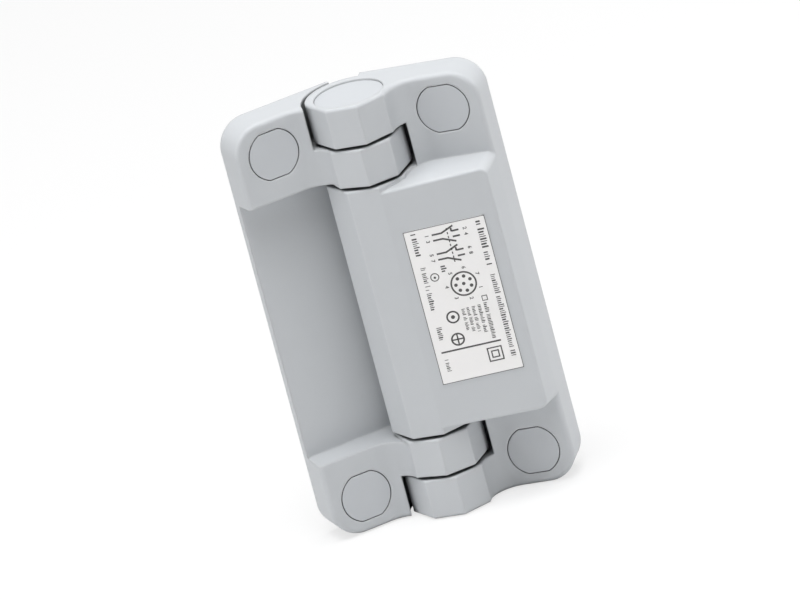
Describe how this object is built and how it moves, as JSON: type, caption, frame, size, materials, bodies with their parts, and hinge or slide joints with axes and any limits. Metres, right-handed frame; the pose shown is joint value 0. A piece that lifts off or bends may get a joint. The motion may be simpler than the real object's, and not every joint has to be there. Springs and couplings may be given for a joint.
{
  "type": "safety hinge switch",
  "caption": "Two-leaf moulded hinge with a cam-driven safety switch in the fixed leaf, a rear plug connector and flush covers over the fixing holes.",
  "frame": {"origin": "on the fixed leaf's mounting face, midway between its two fixing holes", "axes": "+Z along the hinge pin, +Y out of the fixed leaf's mounting face, so the front faces -Y"},
  "size_m": [0.0639, 0.0388, 0.11],
  "materials": {
    "body": "fine matt moulded texture, light grey",
    "cap": "smooth matt, light grey",
    "label": "satin printed film",
    "steel": "ground",
    "bearing_plastic": "dark grey bearing polymer",
    "seal": "soft black",
    "dark_plastic": "black glass-filled",
    "board": "green laminate",
    "contact": "bright",
    "gold_contact": "gold plated",
    "plated_metal": "nickel plated brass"
  },
  "bodies": {
    "switch_leaf": {"circuit_board": "board", "connector_insert": "dark_plastic", "connector_nut": "plated_metal", "connector_o_ring": "seal", "connector_pins": "gold_contact", "connector_shell": "plated_metal", "contact_carrier": "dark_plastic", "cover_screws": "steel", "end_bush_bottom": "bearing_plastic", "end_bush_top": "bearing_plastic", "end_cap_bottom": "cap", "end_cap_top": "cap", "fixed_contacts": "contact", "label": "label", "plunger_spring_bottom": "steel", "plunger_spring_top": "steel", "rear_cover": "body", "rear_gasket": "seal", "shaft_seal_bottom": "seal", "shaft_seal_top": "seal", "switch_bush_bottom": "bearing_plastic", "switch_bush_top": "bearing_plastic", "switch_leaf": "body"},
    "door_leaf": {"door_leaf": "body", "hinge_pin": "steel", "cam": "bearing_plastic", "cam_cross_pin": "steel"},
    "plunger_top": {"plunger_top": "bearing_plastic", "contact_bridge_top": "contact"},
    "switch_screw_cover_top": {"switch_screw_cover_top": "cap"},
    "door_screw_cover_top": {"door_screw_cover_top": "cap"},
    "plunger_bottom": {"plunger_bottom": "bearing_plastic", "contact_bridge_bottom": "contact"},
    "switch_screw_cover_bottom": {"switch_screw_cover_bottom": "cap"},
    "door_screw_cover_bottom": {"door_screw_cover_bottom": "cap"}
  },
  "joints": [
    {"name": "leaf_fold", "type": "hinge", "parent": "switch_leaf", "child": "door_leaf", "pos_m": [-0.0213, -0.013, 0], "axis": [0, 0, 1], "range_deg": [-34.4, 145.6]},
    {"name": "plunger_top_slide", "type": "slide", "parent": "switch_leaf", "child": "plunger_top", "axis": [1, 0, 0], "range_m": [-0.00034, 0.00146], "deforming": ["plunger_spring_top"]},
    {"name": "plunger_bottom_slide", "type": "slide", "parent": "switch_leaf", "child": "plunger_bottom", "axis": [1, 0, 0], "range_m": [-0.00034, 0.00146], "deforming": ["plunger_spring_bottom"]},
    {"name": "switch_cover_top_lift", "type": "slide", "parent": "switch_leaf", "child": "switch_screw_cover_top", "axis": [0, 1, 0], "range_m": [-0.025, 0]},
    {"name": "switch_cover_bottom_lift", "type": "slide", "parent": "switch_leaf", "child": "switch_screw_cover_bottom", "axis": [0, 1, 0], "range_m": [-0.025, 0]},
    {"name": "door_cover_top_lift", "type": "slide", "parent": "door_leaf", "child": "door_screw_cover_top", "axis": [-0.565, 0.8251, 0], "range_m": [-0.025, 0]},
    {"name": "door_cover_bottom_lift", "type": "slide", "parent": "door_leaf", "child": "door_screw_cover_bottom", "axis": [-0.565, 0.8251, 0], "range_m": [-0.025, 0]}
  ],
  "couplings": [
    {"joint": "plunger_top_slide", "follows": "leaf_fold", "m_per_rad": 0.00057296},
    {"joint": "plunger_bottom_slide", "follows": "leaf_fold", "m_per_rad": 0.00057296}
  ]
}
